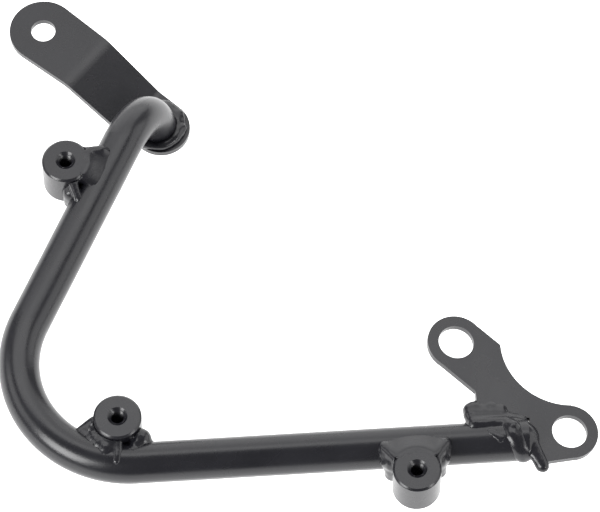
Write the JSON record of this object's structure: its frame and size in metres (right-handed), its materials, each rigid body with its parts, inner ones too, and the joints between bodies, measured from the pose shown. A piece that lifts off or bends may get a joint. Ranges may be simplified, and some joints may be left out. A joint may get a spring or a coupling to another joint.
{
  "type": "pannier rack",
  "caption": "Welded carrier bow of bent round tube for one side of a motorbike, with threaded bosses, a folded strap bracket and a profiled front plate.",
  "frame": {"origin": "mouth of the thread in the corner boss, in the plane of the three boss faces", "axes": "+X along the straight lower run towards its open end, +Y from the lower run towards the eye of the strap bracket, +Z along the boss axes, out of their threaded faces"},
  "size_m": [0.2582, 0.2687, 0.045],
  "materials": {
    "coat": "satin black powder coat over steel, with a fine orange-peel texture",
    "weld_coat": "satin black powder coat over rippled weld beads"
  },
  "bodies": {
    "root": {"tube": "coat", "arm_boss": "coat", "corner_boss": "coat", "run_boss": "coat", "strap_bracket": "coat", "front_plate": "coat", "arm_boss_weld_upper": "weld_coat", "arm_boss_weld_lower": "weld_coat", "arm_boss_weld_top": "weld_coat", "corner_boss_weld_left": "weld_coat", "corner_boss_weld_right": "weld_coat", "run_boss_weld_left": "weld_coat", "run_boss_weld_right": "weld_coat", "run_boss_weld_top": "weld_coat", "tube_foot_weld": "weld_coat", "plate_weld_upper": "weld_coat", "plate_weld_under": "weld_coat", "tube_end_weld": "weld_coat"}
  },
  "joints": []
}
